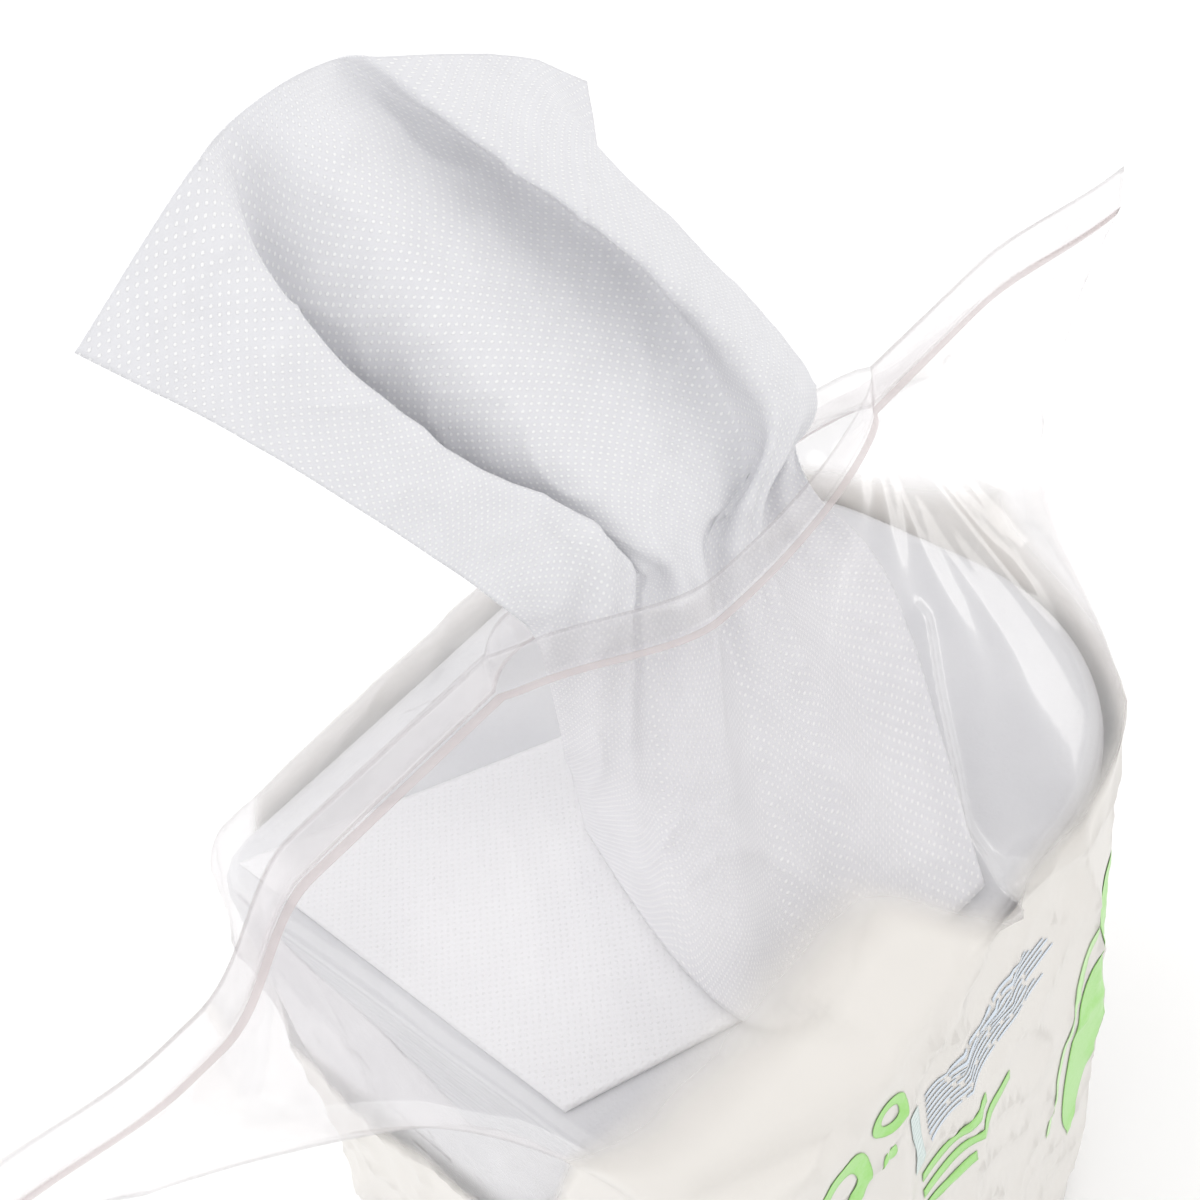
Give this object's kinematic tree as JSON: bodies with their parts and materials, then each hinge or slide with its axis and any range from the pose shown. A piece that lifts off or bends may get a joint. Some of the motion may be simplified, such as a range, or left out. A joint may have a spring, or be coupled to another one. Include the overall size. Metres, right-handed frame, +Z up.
{
  "type": "wet wipes pack",
  "caption": "Refill bag of wet wipes: clear printed film bag with a sealed top fin, open in the middle, folded wipes inside and one wipe drawn up through the opening.",
  "frame": {"origin": "on the floor, on the flat underside of the bag, below the middle of the torn opening's length", "axes": "+X along the sealed fin, to the right seen from the printed front; +Y to the back; +Z up"},
  "size_m": [0.4086, 0.1956, 0.4842],
  "materials": {
    "clear_film": "clear polythene film, printed on its lower part",
    "folded_wipes": "stacked damp nonwoven, folded edges",
    "damp_wipe": "damp nonwoven with an embossed dot grid"
  },
  "bodies": {
    "root": {"bag": "clear_film", "wipe_stack": "folded_wipes", "loose_wipe": "damp_wipe", "drawn_wipe": "damp_wipe"}
  },
  "joints": []
}
